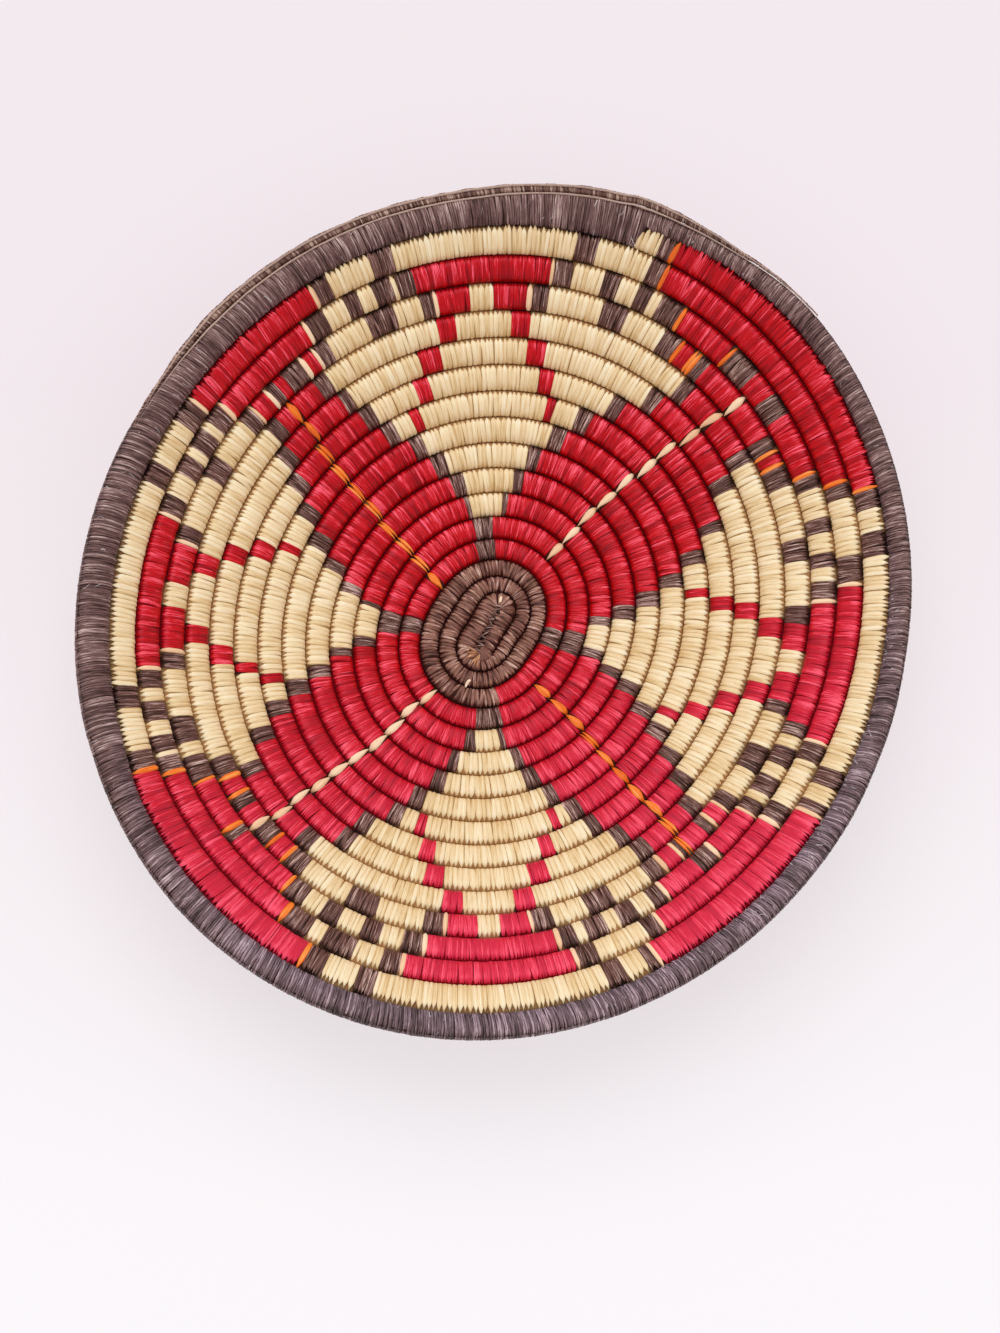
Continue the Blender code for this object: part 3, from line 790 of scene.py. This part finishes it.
def loose_fibres(rim, look):
    """Fine fibres that have come up off the rim's wrap, most of them between bearings 88 and 170."""
    dice = np.random.default_rng(FIBRE_SEED)
    share = np.linspace(0, 1, FIBRE_STEPS)
    starts, angles = [], []
    for low, high, count, places in FIBRES:
        turn = NORTH_TURN - dice.uniform(low, high, count) / 360
        turn = rim.turn[0] + (turn - rim.turn[0]) % 1
        starts.append(np.interp(turn, rim.turn, rim.along))
        angles.append(dice.uniform(*places, count))
    start, angle = np.concatenate(starts), np.concatenate(angles)
    count = len(start)
    arch = np.sin(pi * share)
    run = dice.normal(0, FIBRE_RUN, count)[:, None] * share
    run = run + dice.normal(0, FIBRE_BOW, count)[:, None] * arch
    turned = dice.uniform(*FIBRE_TURN, count) * dice.choice((-1, 1), count)
    phi = angle[:, None] + turned[:, None] * share
    half = dice.uniform(*FIBRE_HALF, count)[:, None, None] * FIBRE_ACROSS
    along = (start[:, None] + run)[..., None] + half
    up = dice.uniform(*FIBRE_RISE, count)[:, None] * arch**FIBRE_ARCH - FIBRE_SINK
    lift = up[..., None] - np.abs(half) * 0.5
    points = rim.place(along, np.broadcast_to(phi[..., None], along.shape), lift, RIM.power)
    strand = np.zeros(along.shape + (3,))
    strand[..., 0] = half * MM + dice.uniform(0, GRAIN_PLACES, (count, 1, 1))
    strand[..., 1] = (phi * STITCH_ARC)[..., None]
    strand[..., 2] = dice.uniform(0, 1, (count, 1, 1))
    made = make_mesh("loose_fibres", points, look, strand)
    return made


# The start of the coil, where loose ends and darning stitches cross the fold's seam
def surface_of(pieces):
    points, faces = [], []
    for piece in pieces:
        start = len(points)
        points += [vertex.co.copy() for vertex in piece.data.vertices]
        faces += [[start + i for i in face.vertices] for face in piece.data.polygons]
    return BVHTree.FromPolygons(points, faces)


def level_over(surface, x, y):
    """The surface's height at these places, without its sharp hollows."""
    level = []
    for a, b in zip(x, y):
        hit = surface.ray_cast(Vector((a, b, SURFACE_TOP)), Vector((0, 0, -1)))[0]
        level.append(hit.z if hit else SURFACE_USUAL)
    level = np.array(level)
    window = 2 * SURFACE_EASE + 1
    padded = np.pad(level, SURFACE_EASE, mode="edge")
    eased = np.convolve(padded, np.ones(window) / window, mode="valid")
    return np.maximum(level, eased)


def ribbons(name, lines, surface, material, seed):
    """Short flat strands laid over the surface, sinking in at both ends.

    A line has two places in millimetres, a width in millimetres, a lift in metres and a tone.
    """
    dice = np.random.default_rng(seed)
    share = np.linspace(0, 1, RIBBON_STEPS)
    arch = np.sin(pi * share)
    points = np.empty((len(lines), RIBBON_STEPS, len(ACROSS), 3))
    strand = np.empty_like(points)
    for number, ((x0, y0), (x1, y1), width, lift, tone) in enumerate(lines):
        x = MIDDLE[0] + (x0 + (x1 - x0) * share) / MM
        y = MIDDLE[1] + (y0 + (y1 - y0) * share) / MM
        run = hypot(x1 - x0, y1 - y0)
        side = np.array([-(y1 - y0) / run, (x1 - x0) / run])
        bend = dice.normal(0, RIBBON_BEND) * run / MM * arch
        level = level_over(surface, x, y) + lift * arch**RIBBON_ARCH - RIBBON_SINK * (1 - arch) ** 3
        narrow = np.sin(pi * (share * (1 - 2 * RIBBON_END) + RIBBON_END)) ** RIBBON_TIP
        aside = (width / 2 / MM * narrow)[:, None] * ACROSS + bend[:, None]
        points[number, ..., 0] = x[:, None] + side[0] * aside
        points[number, ..., 1] = y[:, None] + side[1] * aside
        points[number, ..., 2] = level[:, None] - RIBBON_DOME * ACROSS**2
        strand[number, ..., 0] = ACROSS * width / 2 + dice.uniform(0, GRAIN_PLACES)
        strand[number, ..., 1] = share[:, None] * run
        strand[number, ..., 2] = tone
    # Painted shade along the ribbons' edges
    return make_mesh(name, points, material, strand, np.abs(ACROSS) ** EDGE_POWER)


def toward(bearing):
    """The direction of a bearing in radians."""
    return np.array([sin(bearing), cos(bearing)])


def darn_start(pieces, looks):
    """Crossing stitches over dark strips of painted shade for the hollows along the fold's seam, a tan fan
    round its end, and two pale ends.
    """
    surface = surface_of(pieces)
    dice = np.random.default_rng(START_SEED)
    axis = toward(OVAL_DIRECTION)
    cross = np.array([axis[1], -axis[0]])
    lines = []
    for s in np.linspace(*SEAM_PLACES):
        s = s + dice.normal(0, SEAM_SPREAD)
        hollow = axis * s + cross * dice.normal(0, SEAM_SPREAD)
        lean = axis * dice.uniform(*HOLLOW_REACH) + cross * dice.normal(0, HOLLOW_TURN)
        lines.append((hollow - lean, hollow + lean, dice.uniform(*HOLLOW_WIDTH), HOLLOW_LIFT, HOLLOW_SHADE_TONE))
        slope = dice.normal(*CROSS_SLOPE)
        reach = dice.uniform(*CROSS_REACH)
        a = axis * (s + CROSS_ON - slope) - cross * reach
        b = axis * (s + CROSS_ON + slope) + cross * reach * dice.uniform(*CROSS_SHORTER)
        lines.append((a, b, dice.uniform(*CROSS_WIDTH), CROSS_LIFT, dice.uniform(*CROSS_TONES)))
    darning = ribbons("darning_stitches", lines, surface, looks["brown"], DARNING_SEED)
    ends = []
    for (x, y), bearing, length in PALE_ENDS:
        away = toward(radians(bearing)) * length
        ends.append(((x, y), (x + away[0], y + away[1]), PALE_WIDTH, PALE_LIFT, PALE_TONE))
    for bearing in np.linspace(*FAN_BEARINGS):
        away = toward(radians(bearing + dice.normal(0, FAN_SPREAD)))
        near = np.array(FAN_MIDDLE) + away * dice.uniform(*FAN_FROM)
        far = near + away * dice.uniform(*FAN_LENGTH)
        ends.append((near, far, dice.uniform(*FAN_WIDTH), FAN_LIFT, dice.uniform(0, 1)))
    tips = ribbons("pale_ends", ends, surface, looks["tan"], ENDS_SEED)
    return [darning, tips]


def knot(looks):
    """The knotted start of the bundle, in the hollow beside the coil's tip."""
    around = np.linspace(0, 2 * pi, KNOT_STEPS[0])
    over = np.linspace(-pi / 2, pi / 2, KNOT_STEPS[1])
    u, v = np.meshgrid(around, over, indexing="ij")
    x, y, z, wide, high = KNOT
    sides = [x + wide * np.cos(u) * np.cos(v), y + wide * np.sin(u) * np.cos(v), z + high * np.sin(v)]
    points = np.stack(sides, -1)
    points[..., :2] += MIDDLE
    points[..., 2] = np.maximum(points[..., 2], FLOOR_GAP)
    strand = np.stack([u * KNOT_GRAIN[0], v * KNOT_GRAIN[1], np.full_like(u, KNOT_TONE)], -1)
    uv = np.stack([u / (2 * pi), v / pi + 0.5], -1)
    made = make_mesh("start_knot", points, looks["centre"], strand, uv=uv)
    return made


def main():
    coil = coil_track()
    looks = make_materials()
    pieces, bundle = stitch_coil(coil, looks)
    rim, rim_pieces, rim_bundle = stitch_rim(coil, looks)
    edge = finish_edge(rim, looks)
    edge.append(loose_fibres(rim, looks["fibre"]))
    start = knot(looks)
    centre = [piece for piece in pieces if piece.name.startswith("centre")]
    darning = darn_start(centre + [start], looks)
    for piece in pieces + rim_pieces + edge + darning + [bundle, rim_bundle, start]:
        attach(piece, "root")
    turns_of = {"natural": range(8, 17), "red": range(3, 8), "centre": range(1, 3)}
    for label, numbers in turns_of.items():
        piece = next(p for p in pieces if p.name.startswith(label))
        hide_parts(*[f"wrapped_turn_{n:02d}" for n in numbers])
    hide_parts("grass_bundle")
    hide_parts("rim_bundle")
    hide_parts("rim_wrapping")
    make_floor()
    make_light()
    make_camera()


# Materials
def srgb(red, green, blue):
    """A colour given as the eye sees it, 0 to 255, for a shader."""
    parts = []
    for value in (red, green, blue):
        value = value / 255
        parts.append(value / 12.92 if value <= 0.04045 else ((value + 0.055) / 1.055) ** 2.4)
    return (*parts, 1.0)


def fill(tree, inputs, values):
    """Sets these inputs of a node, or links them to the outputs of other nodes."""
    for key, value in values.items():
        if isinstance(value, bpy.types.NodeSocket):
            tree.links.new(value, inputs[key])
        else:
            inputs[key].default_value = value


def node(tree, kind, values, **settings):
    """The outputs of a new node."""
    made = tree.nodes.new("ShaderNode" + kind)
    for key, value in settings.items():
        setattr(made, key, value)
    fill(tree, made.inputs, values)
    return made.outputs


def blend(tree, a, factor, b):
    """a + factor * b."""
    return node(tree, "Math", {0: b, 1: factor, 2: a}, operation="MULTIPLY_ADD")[0]


def mixed(tree, paint, factor, colour, kind):
    values = {"Factor": factor, "A": paint, "B": colour}
    return node(tree, "Mix", values, data_type="RGBA", blend_type=kind)["Result"]


def ramp(tree, factor, colours, start, span):
    """A colour from a row of them, spread evenly over this span."""
    made = tree.nodes.new("ShaderNodeValToRGB")
    elements = made.color_ramp.elements
    elements.remove(elements[1])
    elements[0].position = start
    elements[0].color = colours[0]
    for index, colour in enumerate(colours[1:]):
        elements.new(start + span * (index + 1) / (len(colours) - 1)).color = colour
    tree.links.new(factor, made.inputs["Fac"])
    return made.outputs["Color"]


def light_mixed(tree, lit, seen, share, output):
    """Light comes from lit, but what the camera sees has this share of seen in it."""
    ray = node(tree, "LightPath", {})["Is Camera Ray"]
    mix = node(tree, "MixShader", {"Fac": blend(tree, 0.0, share, ray), 1: lit, 2: seen})
    tree.links.new(mix["Shader"], tree.nodes[output].inputs["Surface"])


# The red is painted lighter and pinker towards this side, which faces the lamp: painted light
COOL_SIDE = (0.20, -0.98, 0.0)  # the tray's -Y side, and a little towards +X
COOL_RANGE = {"From Min": 0.0, "From Max": 0.11}  # metres that way
GRAIN_STRETCH = (1.0, 0.06, 90.0)  # across, along, and from one strand to another
GRAIN_NOISE = {"Detail": 3.0, "Roughness": 0.7}
PATCH_NOISE = {"Detail": 2.0, "Roughness": 0.6}
PATCH_RANGE = {"From Min": 0.46, "From Max": 0.62}
SEAM_SHADE_POWER = 4.0
RAMP_START, RAMP_SPAN = 0.08, 0.84  # where the first colour lies, and how far from it the last one
ROUGHER, SMOOTHER = 0.12, 0.10  # in the grain's hollows and on its ridges
RELIEF = 0.00015
SHEEN_ROUGHNESS = 0.45


def strand_material(name, colours, roughness, streak=0.8, tone=0.3, broad=0.25, edge=0.3, flank=0.0,
                    gloss=0.4, tint=(1.0, 1.0, 1.0), level=0.5, fine=2.1, sheen=0.0, cool=None,
                    patches=34.0, mottle=None, relief=0.5, side_light=0.0, seams=0.0):
    """A dyed strand. Its colours run from the darkest to the lightest, and level is its place among them.

    Each share says how far a cause moves that place: lengthwise streaks, the strand's own tone, broad
    patches, painted shade at its edges, painted light on its row's outer flank, painted light on the tray's
    -Y side (the cool side) and painted shade towards the seams. Fine and patches are the scales of the
    streaks and of the patches.
    """
    made = bpy.data.materials.new(name)
    made.use_nodes = True
    tree = made.node_tree
    strand = node(tree, "Attribute", {}, attribute_name="strand")["Vector"]
    edge_shade = node(tree, "Attribute", {}, attribute_name="edge")["Fac"]
    at_flank = node(tree, "Attribute", {}, attribute_name="flank")["Fac"]
    own = node(tree, "SeparateXYZ", {0: strand})["Z"]
    grain = node(tree, "VectorMath", {0: strand, 1: GRAIN_STRETCH}, operation="MULTIPLY")[0]
    fibre = node(tree, "TexNoise", {"Vector": grain, "Scale": fine, **GRAIN_NOISE})["Fac"]
    place = node(tree, "TexCoord", {})["Object"]
    patch = node(tree, "TexNoise", {"Vector": place, "Scale": patches, **PATCH_NOISE})["Fac"]
    away = node(tree, "VectorMath", {0: place, 1: COOL_SIDE}, operation="DOT_PRODUCT")["Value"]
    side = node(tree, "MapRange", {"Value": away, **COOL_RANGE})["Result"]
    # Painted shade at the strand's edges and towards the seams, painted light on the row's outer flank and
    # on the tray's -Y side
    causes = [(streak, fibre), (tone, own), (broad, patch), (-edge, edge_shade), (flank, at_flank)]
    if seams:
        size = node(tree, "Math", {0: at_flank}, operation="ABSOLUTE")[0]
        causes.append((-seams, node(tree, "Math", {0: size, 1: SEAM_SHADE_POWER}, operation="POWER")[0]))
    causes.append((side_light, side))
    fac = level - streak / 2 - tone / 2 - broad / 2
    for share, cause in causes:
        fac = blend(tree, fac, share, cause)
    paint = ramp(tree, fac, [srgb(*colour) for colour in colours], RAMP_START, RAMP_SPAN)
    if mottle:
        colour, share = mottle
        share = node(tree, "MapRange", {"Value": patch, "To Max": share, **PATCH_RANGE})["Result"]
        paint = mixed(tree, paint, share, colour, "MIX")
    if cool:
        colour, share, inner_share, kind = cool
        share = blend(tree, blend(tree, 0.0, share, side), -inner_share, at_flank)
        paint = mixed(tree, paint, share, colour, kind)
    rough = {"Value": fibre, "To Min": roughness + ROUGHER, "To Max": roughness - SMOOTHER}
    bump = {"Height": fibre, "Strength": relief, "Distance": RELIEF}
    fill(tree, tree.nodes["Principled BSDF"].inputs, {
        "Base Color": paint,
        "Roughness": node(tree, "MapRange", rough)["Result"],
        "Normal": node(tree, "Bump", bump)["Normal"],
        "Specular IOR Level": gloss,
        "Specular Tint": (*tint, 1.0),
        "Sheen Weight": sheen,
        "Sheen Roughness": SHEEN_ROUGHNESS,
        "Sheen Tint": (*tint, 1.0),
    })
    return made


WARM = (1.0, 0.82, 0.74)
PINK = (1.0, 0.34, 0.48)
GREY_PURPLE = srgb(128, 112, 126)
TAN = srgb(176, 130, 106)
# A lighter pink, mixed into the red on the tray's -Y side: painted light
PAINTED_LIGHT_PINK_RED = srgb(242, 60, 104)
# Each look: its material's name, its colours, its roughness, and what differs from a plain strand.
# Cool has a colour, its share on the cool side, its share on a row's inner flank, and how it is mixed in.
# On the red it is painted light, a lighter pink on the tray's -Y side; on the rim it is a grey-purple hue on
# that side, and a painted bluish highlight hue on the roll's inner flank. Edge and the seam share paint
# shade, flank and side_light paint light.
LOOKS = {
    # Its colours are darker than the stitches over it: painted shade in the seams
    "core": ("bundle", ((126, 6, 18), (46, 28, 24), (172, 128, 84)), 0.8,
        dict(streak=0.12, tone=0.9, broad=0.0, edge=0.0, gloss=0.1)),
    "natural": ("natural_strand", ((210, 172, 114), (239, 211, 164), (251, 234, 198), (255, 253, 242)), 0.5,
        dict(streak=1.25, tone=0.28, broad=0.2, edge=0.42, flank=0.13, gloss=0.3, level=0.45, fine=3.2,
             relief=0.8)),
    # Painted light: its pale pink lightest colour is a painted highlight on the streaks, and it is lighter
    # on the outer flank and the -Y side; its seam share darkens it towards the seams as painted shade
    "red": ("red_strand", ((134, 0, 0), (180, 0, 0), (208, 0, 8), (255, 98, 118)), 0.32,
        dict(streak=2.0, tone=0.5, edge=0.12, flank=0.18, gloss=0.55, tint=PINK, sheen=0.04, patches=60.0,
             cool=(PAINTED_LIGHT_PINK_RED, 0.36, -0.03, "MIX"), fine=2.6, side_light=0.10, level=0.51, seams=0.42)),
    "brown": ("brown_strand", ((26, 10, 6), (82, 47, 41), (122, 85, 78), (218, 188, 178)), 0.42,
        dict(streak=2.2, tint=WARM, fine=3.2, relief=0.8, seams=0.3, level=0.55)),
    "centre": ("centre_strand", ((28, 10, 6), (110, 66, 56), (152, 104, 92), (242, 214, 198)), 0.5,
        dict(streak=1.9, broad=0.7, edge=0.4, tint=WARM, patches=110.0, mottle=(TAN, 0.25), fine=2.6,
             relief=0.8)),
    "orange": ("orange_strand", ((206, 74, 8), (250, 124, 30), (255, 190, 110)), 0.45,
        dict(streak=1.5, broad=0.0, gloss=0.3)),
    "blush": ("blush_strand", ((222, 164, 116), (250, 214, 176), (255, 236, 210)), 0.5,
        dict(streak=0.9, broad=0.0, edge=0.4, gloss=0.3)),
    "tan": ("tan_strand", ((84, 42, 24), (150, 94, 62), (200, 142, 100), (255, 226, 196)), 0.5,
        dict(streak=1.6, tone=0.5, broad=0.0, edge=0.4, gloss=0.3)),
    "rim": ("rim_strand", ((38, 20, 20), (96, 66, 64), (136, 105, 102), (208, 182, 176)), 0.5,
        dict(streak=1.9, tone=0.4, broad=0.5, edge=0.35, flank=0.06, tint=WARM, fine=3.4, patches=60.0,
             cool=(GREY_PURPLE, 0.7, 0.25, "COLOR"), relief=0.8)),
    "ridge": ("ridge_strand", ((92, 58, 50), (148, 110, 98), (226, 194, 178)), 0.55,
        dict(streak=1.4, tone=0.8, edge=0.5, fine=3.0)),
    "pale": ("pale_strand", ((104, 72, 62), (182, 150, 136), (236, 212, 198)), 0.6,
        dict(streak=2.4, tone=0.0, fine=6.0)),
    "fibre": ("loose_fibre", ((140, 122, 126), (190, 176, 180), (236, 228, 230)), 0.6,
        dict(tone=0.8, edge=0.0)),
}


def make_materials():
    return {
        look: strand_material(name, colours, roughness, **shares)
        for look, (name, colours, roughness, shares) in LOOKS.items()
    }


# The studio
FLOOR_SIZE = 6.0
FLOOR_COLOURS = (srgb(250, 247, 250), srgb(242, 233, 238))  # near and far
FLOOR_RANGE = {"From Min": -0.22, "From Max": 0.10}
FLOOR_ROUGHNESS, FLOOR_GLOSS = 0.9, 0.1
FLOOR_GLOW = 0.68  # the share of the floor's own colour in what the camera sees of it
SKY = 0.74  # the strength of its light on the object
SKY_COLOUR = (1.0, 0.985, 0.99, 1.0)
LAMP_STRENGTH = 1.15
LAMP_ANGLE = radians(55)
LAMP_COLOUR = (1.0, 0.985, 0.965)
LAMP_FROM = (-0.16, 0.58, 1.0)


def make_floor():
    mesh = bpy.data.meshes.new("floor")
    half = FLOOR_SIZE / 2
    corners = [(-half, -half, 0), (half, -half, 0), (half, half, 0), (-half, half, 0)]
    mesh.from_pydata(corners, [], [(0, 1, 2, 3)])
    floor = add("floor", mesh)
    paint = bpy.data.materials.new("floor")
    paint.use_nodes = True
    tree = paint.node_tree
    place = node(tree, "TexCoord", {})["Object"]
    far = node(tree, "MapRange", {"Value": node(tree, "SeparateXYZ", {0: place})["Y"], **FLOOR_RANGE})
    tint = ramp(tree, far["Result"], FLOOR_COLOURS, 0.0, 1.0)
    shader = tree.nodes["Principled BSDF"]
    gloss = {"Roughness": FLOOR_ROUGHNESS, "Specular IOR Level": FLOOR_GLOSS}
    fill(tree, shader.inputs, {"Base Color": tint, **gloss})
    glow = node(tree, "Emission", {"Color": tint})["Emission"]
    light_mixed(tree, shader.outputs["BSDF"], glow, FLOOR_GLOW, "Material Output")
    mesh.materials.append(paint)


def make_light():
    """A pale sky, where the camera sees the floor's far colour instead, and one soft lamp."""
    world = bpy.data.worlds.new("studio")
    world.use_nodes = True
    tree = world.node_tree
    sky = tree.nodes["Background"]
    fill(tree, sky.inputs, {"Color": SKY_COLOUR, "Strength": SKY})
    backdrop = node(tree, "Background", {"Color": FLOOR_COLOURS[1], "Strength": 1.0})["Background"]
    light_mixed(tree, sky.outputs["Background"], backdrop, 1.0, "World Output")
    bpy.context.scene.world = world
    sun = bpy.data.lights.new("key", "SUN")
    sun.energy = LAMP_STRENGTH
    sun.angle = LAMP_ANGLE
    sun.color = LAMP_COLOUR
    add("key", sun).rotation_euler = Vector(LAMP_FROM).to_track_quat("Z", "Y").to_euler()


# The camera, where the photograph was taken from
PIXEL = 0.000386  # metres at the tray, to one of the photograph's pixels
FAR = 4000 * PIXEL
DOWN = radians(14.2)
ASIDE = radians(4.68)
MIDDLE_PIXEL = (487.9, 629.5)  # where the coil's middle lies
FRAME_PIXELS = (1000, 1333)
SENSOR = 36.0
CLIP_START = 0.05


def make_camera():
    outward = Vector((-sin(ASIDE), -sin(DOWN) * cos(ASIDE), cos(DOWN) * cos(ASIDE)))
    right = Vector((cos(ASIDE), -sin(DOWN) * sin(ASIDE), cos(DOWN) * sin(ASIDE)))
    up = outward.cross(right)
    middle = Vector((*MIDDLE, COIL_THICKNESS / 2 - BASE_CUT))
    aim = middle + right * PIXEL * (FRAME_PIXELS[0] / 2 - MIDDLE_PIXEL[0])
    aim -= up * PIXEL * (FRAME_PIXELS[1] / 2 - MIDDLE_PIXEL[1])
    place = middle + outward * FAR
    back = (place - aim).normalized()
    side = up.cross(back).normalized()
    over = back.cross(side)
    turned = Matrix((side, over, back)).transposed().to_4x4()
    data = bpy.data.cameras.new("camera")
    data.sensor_fit = "VERTICAL"
    data.sensor_height = SENSOR
    data.lens = SENSOR * FAR / PIXEL / FRAME_PIXELS[1]
    data.clip_start = CLIP_START
    camera = add("camera", data)
    camera.matrix_world = Matrix.Translation(place) @ turned
    bpy.context.scene.camera = camera


main()
bpy.context.scene.view_settings.view_transform = "Standard"
